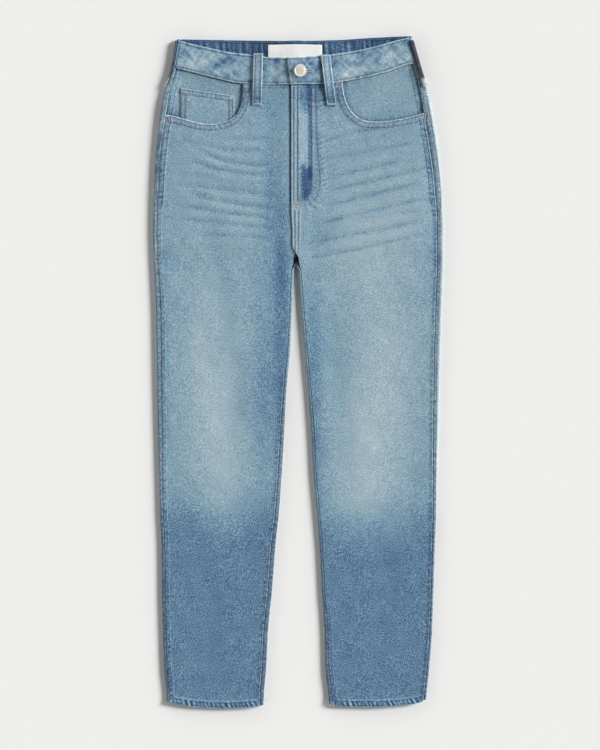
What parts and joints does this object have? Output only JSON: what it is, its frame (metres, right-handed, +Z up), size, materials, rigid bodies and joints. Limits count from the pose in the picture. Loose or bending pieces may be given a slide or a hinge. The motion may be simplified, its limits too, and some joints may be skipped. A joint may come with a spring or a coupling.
{
  "type": "mom jeans",
  "caption": "High-rise tapered denim jeans with pockets, belt loops and a buttoned fly, laid flat on a surface with the front side up",
  "frame": {"origin": "on the surface the garment lies on, under the middle of its bounding box", "axes": "+Y runs from the hems to the waist, +X to the right as seen from above with the front side up, which is towards the wearer's left leg, +Z up from the surface"},
  "size_m": [0.4342, 1.008, 0.0159],
  "materials": {
    "denim_front": "washed light blue twill, faded on the thighs and knees",
    "denim_back": "washed mid blue twill",
    "denim_band": "washed mid blue twill, darker at the seams",
    "zip_tape": "woven tape with metal teeth",
    "woven_label": "plain white woven satin, blank",
    "button_metal": "pale antique metal, plain"
  },
  "bodies": {
    "root": {"front_right": "denim_front", "front_left": "denim_front", "back_right": "denim_back", "back_left": "denim_back", "yoke_right": "denim_back", "yoke_left": "denim_back", "waistband_right": "denim_band", "waistband_left": "denim_band", "waistband_back": "denim_band", "pocket_facing_right": "denim_front", "pocket_facing_left": "denim_front", "coin_pocket": "denim_front", "back_pocket_right": "denim_back", "back_pocket_left": "denim_back", "belt_loop_front_right": "denim_band", "belt_loop_front_left": "denim_band", "belt_loop_side_right": "denim_band", "belt_loop_side_left": "denim_band", "belt_loop_back": "denim_band", "fly_shield": "denim_band", "zip": "zip_tape", "label": "woven_label", "button": "button_metal"}
  },
  "joints": []
}
